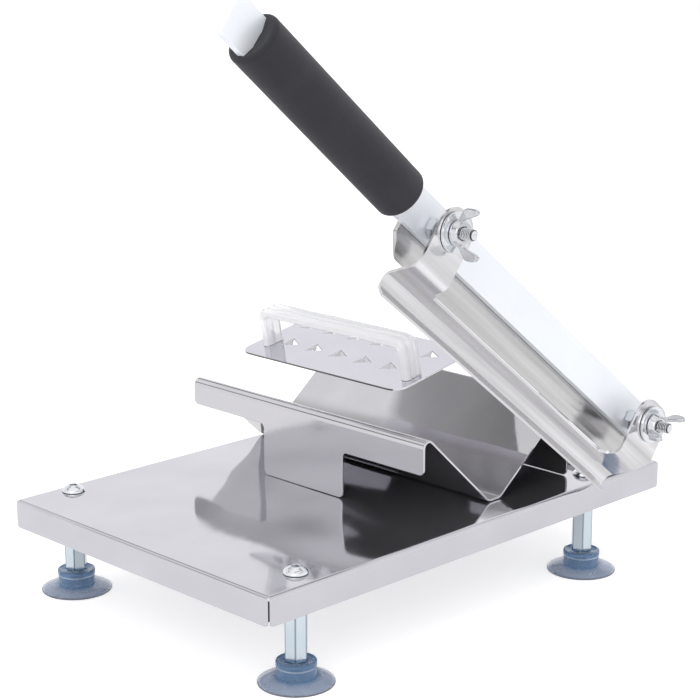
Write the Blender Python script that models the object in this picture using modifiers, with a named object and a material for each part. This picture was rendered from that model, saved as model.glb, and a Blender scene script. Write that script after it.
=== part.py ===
"""Frozen meat slicer: a folded steel base on four suction cups, with a V tray, a hinged blade arm,
an adjustable thickness plate and a loose press with a clear handle. Sizes are in millimetres and go
to metres through MM.

Places on the base are counted from the top of its near left corner: X along the long side, Y away,
Z up. The arm has a frame of its own at its pivot: x along the bar to the grip, y out to the front,
z square to the bar and up."""

import math

import bmesh
import bpy
from mathutils import Matrix, Vector

MM = 0.001

# Clearances of seats and bores, how far a cutter runs past what it cuts, degrees per arc facet
SEAT_GAP = 0.3
BORE_GAP = 0.3
PAST = 5
ARC_STEP = 18

# The part's origin, on the floor under the middle of its outline
ORIGIN_X = 135.6
ORIGIN_Y = 86.25

# Base plate
BASE_LENGTH = 300
BASE_WIDTH = 200
BASE_HEIGHT = 15
BASE_SHEET = 1.2
BASE_BEND = 2
CORNER_SEAM = 0.8
FLANGE_CORNER = 3.5

# Feet
FOOT_HEIGHT = 55.5
FOOT_LEFT_X = 31
FOOT_RIGHT_INSET = 50
FOOT_RIGHT_X = BASE_LENGTH - FOOT_RIGHT_INSET
FOOT_NEAR_Y = 15
FOOT_FAR_INSET = 10
FOOT_FAR_Y = BASE_WIDTH - FOOT_FAR_INSET
BOLT_RADIUS = 3
FOOT_HEAD_RADIUS = 6.2
FOOT_HEAD_HEIGHT = 3.3
FOOT_SCREW_LENGTH = 14
SOCKET_FLATS = 4
SOCKET_DEPTH = 2
STANDOFF_FLATS = 10.5
STANDOFF_LENGTH = 42.2
STANDOFF_TURN = 43.5
STUD_REACH = 12
STUD_HEAD_RADIUS = 5.6
STUD_HEAD_HEIGHT = 2
COLLAR_RADIUS = 10.1
NECK_RADIUS = 9.8
COLLAR_HEIGHT = 3
NECK_HEIGHT = 5
CUP_RADIUS = 19
CUP_RIM_WIDTH = 1.6
CUP_RIM_HEIGHT = 0.6
CUP_HOLLOW = 1.6

# Meat tray
TRAY_SHEET = 1.2
TRAY_NEAR_Y = 19.2
TRAY_FAR_INSET = 1.5
TRAY_FAR_Y = BASE_WIDTH - TRAY_FAR_INSET
TRAY_WIDTH = 117
TRAY_RIGHT_INSET = 59
TRAY_RIGHT_X = BASE_LENGTH - TRAY_RIGHT_INSET
TRAY_LEFT_X = TRAY_RIGHT_X - TRAY_WIDTH
TRAY_LEFT_SLOPE = 42.9
TRAY_RIGHT_SLOPE = 39
TRAY_FLOOR_WIDTH = 8.8
TRAY_FLOOR_RIGHT_INSET = 57
TRAY_FLOOR_RIGHT_X = TRAY_RIGHT_X - TRAY_FLOOR_RIGHT_INSET
TRAY_FLOOR_LEFT_X = TRAY_FLOOR_RIGHT_X - TRAY_FLOOR_WIDTH
TRAY_LEFT_BEND = 4
TRAY_RIGHT_BEND = 3
TRAY_FLOOR_BEND = 5
TRAY_NEAR_FLANGE_Z = 25.8
TRAY_FAR_FLANGE_Z = 29
TRAY_LEG_NEAR_Y = 78
TRAY_LEG_FAR_Y = 139.5
TRAY_CORNER = 3

# Arm
ARM_ANGLE = 38.1
PIVOT_INSET = 39.5
PIVOT_X = BASE_LENGTH - PIVOT_INSET
PIVOT_Z = 34
BLADE_BACK = 0.5
BLADE_THICKNESS = 2.5
BLADE_HEEL = 11
BLADE_REACH = 220
BLADE_TOP = 10
BLADE_EDGE = 22
BLADE_TIP_LENGTH = 8
BLADE_TIP_HEIGHT = 10
BLADE_CORNER = 6
BLADE_GRIND = 7
BLADE_EDGE_THICKNESS = 0.4
BAR_THICKNESS = 4
BAR_HEIGHT = 20
BAR_CENTRE = 2.3
BAR_HEEL = 12
BAR_BEND_GAP = 6
BAR_BEND_X = BLADE_REACH + BAR_BEND_GAP
BAR_RISE = 2.04
BAR_CORNER = 3
GRIP_GAP = 4.5
GRIP_START = BAR_BEND_X + GRIP_GAP
GRIP_LENGTH = 119.5
GRIP_RADIUS = 13
GRIP_ROUND = 6
BAR_TIP_LENGTH = 17
BAR_REACH = GRIP_START + GRIP_LENGTH + BAR_TIP_LENGTH
UPPER_BOLT_INSET = 16
UPPER_BOLT_X = BLADE_REACH - UPPER_BOLT_INSET
BOLT_HEAD_HEIGHT = 4
BOLT_TIP = 34
BOLT_CHAMFER = 0.6
NUT_FLATS = 10
LOCK_NUT_HEIGHT = 4.8
ADJUSTING_NUT_HEIGHT = 4.7
WASHER_RADIUS = 10
WASHER_THICKNESS = 1.5

# Thickness plate
PLATE_SHEET = 1.4
EAR_BACK = 20
EAR_TOP = 12
EAR_HALF_WIDTH = 14
EAR_ROUND = 11
EAR_ROUND_START = -3
EAR_FOLD_Z = -23.4
EAR_BEND = 4
RAIL_GAP = 0.4
RAIL_BACK = BLADE_BACK + BLADE_THICKNESS + RAIL_GAP
RAIL_FOLD_Z = -30.9
RAIL_BEND = 5
RAIL_LIP_Z = -38.9
LIP_FRONT = 7.8
LIP_Z = -43
LIP_BEND = 3.5
HEEL_HEIGHT = 6
HEEL_CORNER = 3
PLATE_START = -7.5
LIP_START = -2
PLATE_OVERHANG = 11.3
PLATE_END = UPPER_BOLT_X + PLATE_OVERHANG
WINDOW_START = 15
WINDOW_INSET = 13.2
WINDOW_END = UPPER_BOLT_X - WINDOW_INSET
WINDOW_BACK = 12
WINDOW_CORNER = 6

# Wing nuts
WING_BARREL_RADIUS = 6.5
WING_BARREL_HEIGHT = 4
WING_BARREL_TAPER = 1
WING_SPAN = 12.5
WING_HEIGHT = 13
WING_LOW = 5
WING_ROUND = 3
WING_THICKNESS = 2.4
UPPER_WING_TURN = -52
LOWER_WING_TURN = 56

# Hinge bracket
BRACKET_THICKNESS = 3
BRACKET_GAP = 0.8
BRACKET_BEND = 3
BRACKET_RADIUS = 10
BRACKET_RIGHT_REACH = 17.5
BRACKET_RIGHT_X = PIVOT_X + BRACKET_RIGHT_REACH
BRACKET_FOOT_GAP = 1.8
BRACKET_FOOT_X = FOOT_RIGHT_X + FOOT_HEAD_RADIUS + BRACKET_FOOT_GAP
BRACKET_REACH = 38
BRACKET_STEP_Z = 12
BRACKET_SCREW_INSET = 10
BRACKET_SCREW_X = BRACKET_RIGHT_X - BRACKET_SCREW_INSET
BRACKET_SCREW_NEAR_Y = 13
BRACKET_SCREW_FAR_Y = 29
BRACKET_SCREW_RADIUS = 2.5
BRACKET_HEAD_RADIUS = 4.7
BRACKET_HEAD_HEIGHT = 2.8
BRACKET_SOCKET_FLATS = 3
BRACKET_SOCKET_DEPTH = 1.6
BRACKET_NUT_FLATS = 8
BRACKET_NUT_HEIGHT = 4
BRACKET_SCREW_TIP = 2
PIVOT_WASHER_THICKNESS = 0.7

# Press
PRESS_OFFSET = 13.3
PRESS_X = TRAY_LEFT_X + PRESS_OFFSET
PRESS_Y = 50
PRESS_Z = 62.3
PRESS_TILT = 10.8
PRESS_WIDTH = 61
PRESS_LENGTH = 124.5
PRESS_SHEET = 1
PRESS_CORNER = 8
TOOTH_LEFT_U = 22.2
TOOTH_LEFT_V = 26.5
TOOTH_LEFT_COUNT = 5
TOOTH_RIGHT_U = 44.8
TOOTH_RIGHT_V = 16.7
TOOTH_RIGHT_COUNT = 6
TOOTH_FAR_MARGIN = 12.3
TOOTH_PITCH = (PRESS_LENGTH - TOOTH_RIGHT_V - TOOTH_FAR_MARGIN) / (TOOTH_RIGHT_COUNT - 1)
TOOTH_BASE = 10.3
TOOTH_HEIGHT = 9.6
TOOTH_SET_BACK = 0.05
HANDLE_U = 11.2
HANDLE_WIDTH = 12.4
HANDLE_V = 4
HANDLE_FAR_MARGIN = 7.5
HANDLE_LENGTH = PRESS_LENGTH - HANDLE_V - HANDLE_FAR_MARGIN
HANDLE_HEIGHT = 19
HANDLE_THICKNESS = 5
HANDLE_BEND = 7
PRESS_SCREW_RADIUS = 1.2
PRESS_SCREW_HEAD_RADIUS = 2.6
PRESS_SCREW_HEAD_HEIGHT = 1.6
PRESS_SCREW_REACH = 8

# Finish: colour, roughness, metallic, transmission
FINISHES = {
    "mirror_steel": ((0.78, 0.78, 0.80), 0.12, 1.0, 0.0),
    "brushed_steel": ((0.66, 0.66, 0.68), 0.28, 1.0, 0.0),
    "zinc": ((0.82, 0.83, 0.86), 0.35, 1.0, 0.0),
    "foam": ((0.015, 0.015, 0.018), 0.85, 0.0, 0.0),
    "clear_plastic": ((0.80, 0.86, 0.92), 0.08, 0.0, 0.9),
}


def clear_scene():
    """Remove what the startup scene holds."""
    for thing in list(bpy.data.objects):
        bpy.data.objects.remove(thing)


def new_collection(name):
    """A collection of the scene."""
    made = bpy.data.collections.new(name)
    bpy.context.scene.collection.children.link(made)
    return made


def new_frame(name, place, turn=(0, 0, 0), parent=None):
    """An empty that carries pieces: its place is in millimetres and its turn in degrees."""
    frame = bpy.data.objects.new(name, None)
    frame.location = Vector(place) * MM
    frame.rotation_euler = [math.radians(angle) for angle in turn]
    frame.parent = parent
    PARTS.objects.link(frame)
    return frame


def new_material(name, finish):
    """A Principled material of one piece."""
    colour, roughness, metallic, transmission = FINISHES[finish]
    made = bpy.data.materials.new(name + "_" + finish)
    made.use_nodes = True
    shader = made.node_tree.nodes["Principled BSDF"]
    shader.inputs["Base Color"].default_value = (*colour, 1)
    shader.inputs["Roughness"].default_value = roughness
    shader.inputs["Metallic"].default_value = metallic
    shader.inputs["Transmission Weight"].default_value = transmission
    return made


def new_piece(name, mesh, frame, finish, place=(0, 0, 0), turn=(0, 0, 0)):
    """A named piece carried by a frame."""
    piece = bpy.data.objects.new(name, mesh)
    piece.location = Vector(place) * MM
    piece.rotation_euler = [math.radians(angle) for angle in turn]
    piece.parent = frame
    if finish is None:
        CUTTERS.objects.link(piece)
        piece.hide_render = True
        piece.display_type = "WIRE"
    else:
        PARTS.objects.link(piece)
        mesh.materials.append(new_material(name, finish))
    return piece


def combine(piece, other, operation):
    """A Boolean of the piece with a hidden helper."""
    modifier = piece.modifiers.new(other.name, "BOOLEAN")
    modifier.operation = operation
    modifier.object = other


def cut(piece, mesh, name, place=(0, 0, 0), turn=(0, 0, 0)):
    """Take the mesh out of the piece."""
    combine(piece, new_piece(name, mesh, piece.parent, None, place, turn), "DIFFERENCE")


def fuse(piece, mesh, name, place=(0, 0, 0), turn=(0, 0, 0)):
    """Add the mesh to the piece."""
    combine(piece, new_piece(name, mesh, piece.parent, None, place, turn), "UNION")


def rounded(points, radii, closed=True):
    """The path through the points, with an arc of the given radius at each corner."""
    path = []
    for index, point in enumerate(points):
        radius = radii[index] if isinstance(radii, (list, tuple)) else radii
        corner = Vector(point)
        is_end = not closed and index in (0, len(points) - 1)
        if is_end or radius == 0:
            path.append(corner)
            continue
        back = (Vector(points[index - 1]) - corner).normalized()
        ahead = (Vector(points[(index + 1) % len(points)]) - corner).normalized()
        turn = math.pi - back.angle(ahead)
        centre = corner + (back + ahead).normalized() * radius / math.cos(turn / 2)
        spoke = corner + back * radius * math.tan(turn / 2) - centre
        side = 1 if ahead.x * back.y - ahead.y * back.x > 0 else -1
        steps = max(2, math.ceil(math.degrees(turn) / ARC_STEP))
        for step in range(steps + 1):
            path.append(centre + Matrix.Rotation(side * turn * step / steps, 2) @ spoke)
    return path


def circle(radius, x=0, y=0, steps=20):
    """A round outline."""
    angles = [2 * math.pi * step / steps for step in range(steps)]
    return [(x + radius * math.cos(angle), y + radius * math.sin(angle)) for angle in angles]


def hexagon(flats):
    """A six sided outline of the given width across its flats."""
    return circle(flats / math.sqrt(3), steps=6)


def box_outline(x_low, x_high, y_low, y_high):
    """The four corners of a rectangle."""
    return [(x_low, y_low), (x_high, y_low), (x_high, y_high), (x_low, y_high)]


def slab(outlines, low, high, plane="XY"):
    """A plate mesh: its edge outline and its holes, from low to high square to the plane."""
    curve = bpy.data.curves.new("outline", "CURVE")
    curve.dimensions = "2D"
    curve.fill_mode = "BOTH"
    curve.extrude = (high - low) / 2 * MM
    for outline in outlines:
        spline = curve.splines.new("POLY")
        spline.points.add(len(outline) - 1)
        spline.use_cyclic_u = True
        for point, (x, y) in zip(spline.points, outline):
            point.co = (x * MM, y * MM, 0, 1)
    guide = bpy.data.objects.new("outline", curve)
    bpy.context.scene.collection.objects.link(guide)
    graph = bpy.context.evaluated_depsgraph_get()
    mesh = bpy.data.meshes.new_from_object(guide.evaluated_get(graph))
    bpy.data.objects.remove(guide)
    weld(mesh)
    turns = {"XY": Matrix(), "XZ": Matrix.Rotation(math.pi / 2, 4, "X")}
    turns["YZ"] = Matrix(((0, 0, 1, 0), (1, 0, 0, 0), (0, 1, 0, 0), (0, 0, 0, 1)))
    normal = {"XY": (0, 0, 1), "XZ": (0, 1, 0), "YZ": (1, 0, 0)}[plane]
    middle = Matrix.Translation(Vector(normal) * (low + high) / 2 * MM)
    mesh.transform(middle @ turns[plane])
    return mesh


def weld(mesh):
    """Join a curve's loose caps to its sides, with the faces pointing out."""
    shape = bmesh.new()
    shape.from_mesh(mesh)
    bmesh.ops.remove_doubles(shape, verts=shape.verts, dist=1e-6)
    bmesh.ops.recalc_face_normals(shape, faces=shape.faces)
    shape.to_mesh(mesh)
    shape.free()


def bent_surface(path, low, high, plane):
    """An open surface along the path, from low to high square to the plane."""
    spots = {"XZ": lambda a, b: (a, low, b), "YZ": lambda a, b: (low, a, b)}[plane]
    along = {"XZ": Vector((0, 1, 0)), "YZ": Vector((1, 0, 0))}[plane]
    shape = bmesh.new()
    verts = [shape.verts.new(Vector(spots(a, b)) * MM) for a, b in path]
    edges = [shape.edges.new(pair) for pair in zip(verts, verts[1:])]
    moved = bmesh.ops.extrude_edge_only(shape, edges=edges)["geom"]
    moved = [item for item in moved if isinstance(item, bmesh.types.BMVert)]
    bmesh.ops.translate(shape, verts=moved, vec=along * (high - low) * MM)
    mesh = bpy.data.meshes.new("surface")
    shape.to_mesh(mesh)
    shape.free()
    mesh.shade_smooth()
    return mesh


def thicken(piece, thickness, side):
    """Give an open surface its thickness, to the side that its faces point to (1) or away from it (-1)."""
    modifier = piece.modifiers.new("thickness", "SOLIDIFY")
    modifier.thickness = thickness * MM
    modifier.offset = side
    modifier.use_even_offset = True


def turned(name, profile, frame, finish, place, turn=(0, 0, 0), steps=20, ring=False):
    """A turned piece about its z axis: the profile holds radius and height, down the outer side."""
    mesh = bpy.data.meshes.new(name)
    count = len(profile)
    edges = [(index, index + 1) for index in range(count - 1)]
    if ring:
        edges.append((count - 1, 0))
    mesh.from_pydata([(radius * MM, 0, height * MM) for radius, height in profile], edges, [])
    piece = new_piece(name, mesh, frame, finish, place, turn)
    modifier = piece.modifiers.new("turn", "SCREW")
    modifier.steps = steps
    modifier.render_steps = steps
    modifier.use_merge_vertices = True
    modifier.merge_threshold = 0.00001
    modifier.use_smooth_shade = True
    return piece


def make_base():
    """The folded base pan, open below, with corner seams, rounded flange corners and screw holes."""
    shape = bmesh.new()
    bmesh.ops.create_cube(shape, size=1)
    bmesh.ops.scale(shape, verts=shape.verts, vec=Vector((BASE_LENGTH, BASE_WIDTH, BASE_HEIGHT)) * MM)
    middle = Vector((BASE_LENGTH / 2, BASE_WIDTH / 2, -BASE_HEIGHT / 2)) * MM
    bmesh.ops.translate(shape, verts=shape.verts, vec=middle)
    bottom = [face for face in shape.faces if face.normal.z < -0.5]
    bmesh.ops.delete(shape, geom=bottom, context="FACES_ONLY")
    mesh = bpy.data.meshes.new("base_plate")
    shape.to_mesh(mesh)
    shape.free()
    base = new_piece("base_plate", mesh, BASE, "mirror_steel")
    bend = base.modifiers.new("bend", "BEVEL")
    bend.width = BASE_BEND * MM
    bend.segments = 3
    thicken(base, BASE_SHEET, -1)
    for x_side in (0, 1):
        for y_side in (0, 1):
            cut_corner(base, x_side, y_side)
    holes = [circle(BOLT_RADIUS + BORE_GAP, x, y) for _, x, y in feet()]
    for y in (BRACKET_SCREW_NEAR_Y, BRACKET_SCREW_FAR_Y):
        holes.append(circle(BRACKET_SCREW_RADIUS + BORE_GAP, BRACKET_SCREW_X, y))
    cut(base, slab(holes, -2 * BASE_SHEET, BASE_SHEET), "base_holes")


def cut_corner(base, x_side, y_side):
    """The seam between two flanges, and their rounded lower corners."""
    corner = Vector((x_side * BASE_LENGTH, y_side * BASE_WIDTH, 0))
    inward = (1 - 2 * x_side, 1 - 2 * y_side)
    name = f"corner_{x_side}{y_side}"
    reach = 3 * BASE_SHEET + BASE_BEND
    half = CORNER_SEAM / 2
    seam = slab([box_outline(-reach, reach, -half, half)], -BASE_HEIGHT - PAST, -BASE_BEND)
    cut(base, seam, name + "_seam", corner, (0, 0, 45 * inward[0] * inward[1]))
    low = -BASE_HEIGHT
    high = low + FLANGE_CORNER
    wedge = [(-PAST, low - PAST), (FLANGE_CORNER + 1, low - PAST), (FLANGE_CORNER + 1, low)]
    wedge += rounded([(FLANGE_CORNER, low), (0, low), (0, high)], FLANGE_CORNER, closed=False)
    wedge.append((-PAST, high))
    for plane, side in (("XZ", inward[0]), ("YZ", inward[1])):
        other = inward[1] if plane == "XZ" else inward[0]
        outline = [(point[0] * side, point[1]) for point in wedge]
        ends = sorted((-other, (BASE_SHEET + SEAT_GAP) * other))
        cut(base, slab([outline], ends[0], ends[1], plane), f"{name}_{plane}", corner)


def feet():
    """Name and place of each foot."""
    return [
        ("near_left", FOOT_LEFT_X, FOOT_NEAR_Y),
        ("far_left", FOOT_LEFT_X, FOOT_FAR_Y),
        ("near_right", FOOT_RIGHT_X, FOOT_NEAR_Y),
        ("far_right", FOOT_RIGHT_X, FOOT_FAR_Y),
    ]


def make_foot(name, x, y):
    """A button head screw from above, a hexagonal standoff, a stud and a suction cup."""
    head = [(0, FOOT_HEAD_HEIGHT)]
    for step in range(1, 5):
        angle = math.radians(90 - 20 * step)
        head.append((FOOT_HEAD_RADIUS * math.cos(angle), FOOT_HEAD_HEIGHT * math.sin(angle)))
    head += [(FOOT_HEAD_RADIUS, 0), (BOLT_RADIUS, 0), (BOLT_RADIUS, -FOOT_SCREW_LENGTH)]
    head.append((0, -FOOT_SCREW_LENGTH))
    screw = turned("foot_screw_" + name, head, BASE, "mirror_steel", (x, y, SEAT_GAP))
    socket = slab([hexagon(SOCKET_FLATS)], FOOT_HEAD_HEIGHT - SOCKET_DEPTH, FOOT_HEAD_HEIGHT + PAST)
    cut(screw, socket, "socket_" + name, (x, y, SEAT_GAP))
    top = -BASE_SHEET - SEAT_GAP
    bottom = top - STANDOFF_LENGTH
    outlines = [hexagon(STANDOFF_FLATS), circle(BOLT_RADIUS + BORE_GAP)]
    standoff = slab(outlines, bottom, top)
    new_piece("standoff_" + name, standoff, BASE, "zinc", (x, y, 0), (0, 0, STANDOFF_TURN))
    collar_top = bottom - SEAT_GAP
    head_top = collar_top - COLLAR_HEIGHT - NECK_HEIGHT / 2
    stud = [(0, bottom + STUD_REACH), (BOLT_RADIUS, bottom + STUD_REACH), (BOLT_RADIUS, head_top)]
    stud += [(STUD_HEAD_RADIUS, head_top), (STUD_HEAD_RADIUS, head_top - STUD_HEAD_HEIGHT)]
    stud.append((0, head_top - STUD_HEAD_HEIGHT))
    turned("cup_stud_" + name, stud, BASE, "zinc", (x, y, 0))
    cup = cup_profile(collar_top, head_top)
    turned("suction_cup_" + name, cup, BASE, "clear_plastic", (x, y, 0), steps=28)


def cup_profile(collar_top, head_top):
    """A two step collar over a thin skirt with a shallow hollow, and a pocket that holds the stud's head."""
    floor = -FOOT_HEIGHT
    step = collar_top - COLLAR_HEIGHT
    neck = step - NECK_HEIGHT
    bore = BOLT_RADIUS + BORE_GAP
    pocket = STUD_HEAD_RADIUS + BORE_GAP
    rim = floor + CUP_RIM_HEIGHT
    outer = [(COLLAR_RADIUS, collar_top), (COLLAR_RADIUS, step), (NECK_RADIUS, step - 0.5)]
    outer.append((NECK_RADIUS, neck))
    for share in (0.35, 0.7, 0.9):
        radius = NECK_RADIUS + (CUP_RADIUS - NECK_RADIUS) * share
        outer.append((radius, neck + (rim - neck) * share**2))
    outer += [(CUP_RADIUS, rim), (CUP_RADIUS, floor), (CUP_RADIUS - CUP_RIM_WIDTH, floor)]
    under = [(CUP_RADIUS * share, floor + CUP_HOLLOW * (1 - share**2)) for share in (0.75, 0.45)]
    under.append((0, floor + CUP_HOLLOW))
    pocket_floor = head_top - STUD_HEAD_HEIGHT - SEAT_GAP
    inside = [(0, pocket_floor), (pocket, pocket_floor), (pocket, head_top + SEAT_GAP)]
    inside += [(bore, head_top + SEAT_GAP), (bore, collar_top)]
    return inside + outer + under


def tray_path():
    """The tray's outer face: up the left leg, down into the valley, up again and down the right wall."""
    left = math.tan(math.radians(TRAY_LEFT_SLOPE))
    right = math.tan(math.radians(TRAY_RIGHT_SLOPE))
    floor = SEAT_GAP + TRAY_SHEET
    left_top = floor + (TRAY_FLOOR_LEFT_X - TRAY_LEFT_X) * left
    right_top = floor + (TRAY_RIGHT_X - TRAY_FLOOR_RIGHT_X) * right
    corners = [(TRAY_LEFT_X, SEAT_GAP), (TRAY_LEFT_X, left_top), (TRAY_FLOOR_LEFT_X, floor)]
    corners += [(TRAY_FLOOR_RIGHT_X, floor), (TRAY_RIGHT_X, right_top), (TRAY_RIGHT_X, SEAT_GAP)]
    radii = [0, TRAY_LEFT_BEND, TRAY_FLOOR_BEND, TRAY_FLOOR_BEND, TRAY_RIGHT_BEND, 0]
    return rounded(corners, radii, closed=False)


def make_tray():
    """The V tray, one bent sheet on a left leg and a right wall, with short flanges past them."""
    surface = bent_surface(tray_path(), TRAY_NEAR_Y, TRAY_FAR_Y, "XZ")
    tray = new_piece("meat_tray", surface, BASE, "brushed_steel")
    thicken(tray, TRAY_SHEET, 1)
    far_cut = tray_cutter(TRAY_LEG_FAR_Y, TRAY_FAR_Y, TRAY_FAR_FLANGE_Z)
    near_cut = tray_cutter(TRAY_LEG_NEAR_Y, TRAY_NEAR_Y, TRAY_NEAR_FLANGE_Z)
    corner = TRAY_CORNER
    before = TRAY_NEAR_Y - PAST
    wall = [(TRAY_NEAR_Y + corner, -PAST), (TRAY_NEAR_Y + corner, SEAT_GAP), (TRAY_NEAR_Y, SEAT_GAP)]
    wall += [(TRAY_NEAR_Y, SEAT_GAP + corner), (before, SEAT_GAP + corner), (before, -PAST)]
    wall_cut = rounded(wall, [0, 0, corner, 0, 0, 0])
    wide = 3 * TRAY_SHEET
    left = (TRAY_LEFT_X - wide, TRAY_LEFT_X + wide)
    right = (TRAY_RIGHT_X - wide, TRAY_RIGHT_X + wide)
    cut(tray, slab([far_cut], *left, "YZ"), "left_far_opening")
    cut(tray, slab([near_cut], *left, "YZ"), "left_near_opening")
    cut(tray, slab([far_cut], *right, "YZ"), "right_far_opening")
    cut(tray, slab([wall_cut], *right, "YZ"), "right_wall_corner")


def tray_cutter(leg_y, end_y, low):
    """What is cut off below a flange, between the leg and the tray's end, with rounded corners."""
    corner = TRAY_CORNER
    side = 1 if end_y > leg_y else -1
    past = end_y + side * PAST
    outline = [(leg_y - side * corner, -PAST), (leg_y - side * corner, SEAT_GAP), (leg_y, SEAT_GAP)]
    outline += [(leg_y, low), (end_y, low), (end_y, low + corner), (past, low + corner), (past, -PAST)]
    return rounded(outline, [0, 0, corner, corner, corner, 0, 0, 0])


def make_bracket():
    """The hinge bracket behind the blade, screwed to the base, and its washer."""
    back = BRACKET_GAP + BRACKET_THICKNESS
    foot = SEAT_GAP + BRACKET_THICKNESS
    top = PIVOT_Z + BRACKET_RADIUS
    path = rounded([(BRACKET_REACH, SEAT_GAP), (BRACKET_GAP, SEAT_GAP), (BRACKET_GAP, top)],
                   [0, BRACKET_BEND + BRACKET_THICKNESS, 0], closed=False)
    left = PIVOT_X - BRACKET_RADIUS
    surface = bent_surface(path, left, BRACKET_RIGHT_X, "YZ")
    bracket = new_piece("hinge_bracket", surface, BASE, "brushed_steel")
    thicken(bracket, BRACKET_THICKNESS, -1)
    high = top + PAST
    knee = PIVOT_X + BRACKET_RADIUS
    far_right = BRACKET_RIGHT_X + PAST
    crown = [(left - PAST, PIVOT_Z - PAST), (left, PIVOT_Z - PAST), (left, top), (knee, top)]
    crown += [(knee, PIVOT_Z), (BRACKET_RIGHT_X, BRACKET_STEP_Z), (far_right, BRACKET_STEP_Z)]
    crown += [(far_right, high), (left - PAST, high)]
    round_top = BRACKET_RADIUS - 0.01
    crown = rounded(crown, [0, 0, round_top, round_top, 0, 0, 0, 0, 0])
    cut(bracket, slab([crown], -PAST, back + 1, "XZ"), "bracket_crown")
    notch_y = back + BRACKET_BEND + SEAT_GAP
    notch = box_outline(left - PAST, BRACKET_FOOT_X, notch_y, BRACKET_REACH + PAST)
    cut(bracket, slab([rounded(notch, [0, 1, 0, 0])], -PAST, foot + PAST), "bracket_notch")
    holes = []
    for y in (BRACKET_SCREW_NEAR_Y, BRACKET_SCREW_FAR_Y):
        holes.append(circle(BRACKET_SCREW_RADIUS + BORE_GAP, BRACKET_SCREW_X, y))
    cut(bracket, slab(holes, -PAST, foot + PAST), "bracket_screw_holes")
    hole = circle(BOLT_RADIUS + BORE_GAP, PIVOT_X, PIVOT_Z)
    cut(bracket, slab([hole], -PAST, back + PAST, "XZ"), "bracket_pivot_hole")
    for name, y in (("near", BRACKET_SCREW_NEAR_Y), ("far", BRACKET_SCREW_FAR_Y)):
        make_bracket_screw(name, y, foot)


def make_bracket_screw(name, y, foot):
    """A button head screw through bracket and base, with its nut under the base."""
    nut_top = -BASE_SHEET - SEAT_GAP
    nut_bottom = nut_top - BRACKET_NUT_HEIGHT
    seat = foot + SEAT_GAP
    head = seat + BRACKET_HEAD_HEIGHT
    tip = nut_bottom - BRACKET_SCREW_TIP
    profile = [(0, head), (BRACKET_HEAD_RADIUS * 0.6, head)]
    profile.append((BRACKET_HEAD_RADIUS * 0.9, seat + 0.6 * BRACKET_HEAD_HEIGHT))
    profile += [(BRACKET_HEAD_RADIUS, seat), (BRACKET_SCREW_RADIUS, seat), (BRACKET_SCREW_RADIUS, tip)]
    profile.append((0, tip))
    screw = turned("bracket_screw_" + name, profile, BASE, "zinc", (BRACKET_SCREW_X, y, 0), steps=16)
    socket = slab([hexagon(BRACKET_SOCKET_FLATS)], head - BRACKET_SOCKET_DEPTH, head + PAST)
    cut(screw, socket, "bracket_socket_" + name, (BRACKET_SCREW_X, y, 0))
    outlines = [hexagon(BRACKET_NUT_FLATS), circle(BRACKET_SCREW_RADIUS + BORE_GAP, steps=16)]
    nut = slab(outlines, nut_bottom, nut_top)
    new_piece("bracket_nut_" + name, nut, BASE, "zinc", (BRACKET_SCREW_X, y, 0))


def bar_outline():
    """The flat bar, which rises a little from the bend to its tip."""
    half = BAR_HEIGHT / 2
    rise = math.tan(math.radians(BAR_RISE)) * (BAR_REACH - BAR_BEND_X)
    low = BAR_CENTRE - half
    high = BAR_CENTRE + half
    corners = [(-BAR_HEEL, low), (BAR_BEND_X, low), (BAR_REACH, low + rise)]
    corners += [(BAR_REACH, high + rise), (BAR_BEND_X, high), (-BAR_HEEL, high)]
    corner = BAR_CORNER
    return rounded(corners, [corner, 0, corner, corner, 0, corner])


def make_arm():
    """The bar with its foam grip, the blade, and the two bolts with their lock nuts."""
    bore = BOLT_RADIUS + BORE_GAP
    holes = [circle(bore), circle(bore, UPPER_BOLT_X)]
    bar_back = BLADE_BACK + BLADE_THICKNESS + SEAT_GAP
    bar_front = bar_back + BAR_THICKNESS
    new_piece("handle_bar", slab([bar_outline()] + holes, bar_back, bar_front, "XZ"), ARM, "zinc")
    make_grip((bar_back + bar_front) / 2)
    make_blade(holes)
    nut_back = bar_front + SEAT_GAP
    make_bolt("upper_bolt", UPPER_BOLT_X, BLADE_BACK - SEAT_GAP)
    make_bolt("pivot_bolt", 0, -BRACKET_GAP - BRACKET_THICKNESS - SEAT_GAP)
    for name, x in (("upper", UPPER_BOLT_X), ("lower", 0)):
        nut = slab([hexagon(NUT_FLATS), circle(bore)], nut_back, nut_back + LOCK_NUT_HEIGHT, "XZ")
        new_piece("lock_nut_" + name, nut, ARM, "zinc", (x, 0, 0))
    middle = (BLADE_BACK - BRACKET_GAP) / 2
    thin = PIVOT_WASHER_THICKNESS / 2
    washer = slab([circle(WASHER_RADIUS * 0.9, steps=28), circle(bore)], middle - thin, middle + thin, "XZ")
    new_piece("pivot_washer", washer, ARM, "zinc")


def make_grip(middle):
    """The foam sleeve on the bar, with rounded ends and a flat slot through it."""
    round_off = GRIP_ROUND
    profile = rounded([(0, GRIP_LENGTH), (GRIP_RADIUS, GRIP_LENGTH), (GRIP_RADIUS, 0), (0, 0)],
                      [0, round_off, round_off, 0], closed=False)
    climb = math.tan(math.radians(BAR_RISE)) * (GRIP_START - BAR_BEND_X)
    place = (GRIP_START, middle, BAR_CENTRE + climb)
    turn = (0, 90 - BAR_RISE, 0)
    grip = turned("foam_grip", profile, ARM, "foam", place, turn, steps=32)
    half = BAR_HEIGHT / 2 + BORE_GAP
    thin = BAR_THICKNESS / 2 + BORE_GAP
    slot = slab([box_outline(-half, half, -thin, thin)], -PAST, GRIP_LENGTH + PAST)
    cut(grip, slot, "grip_slot", place, turn)


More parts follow.
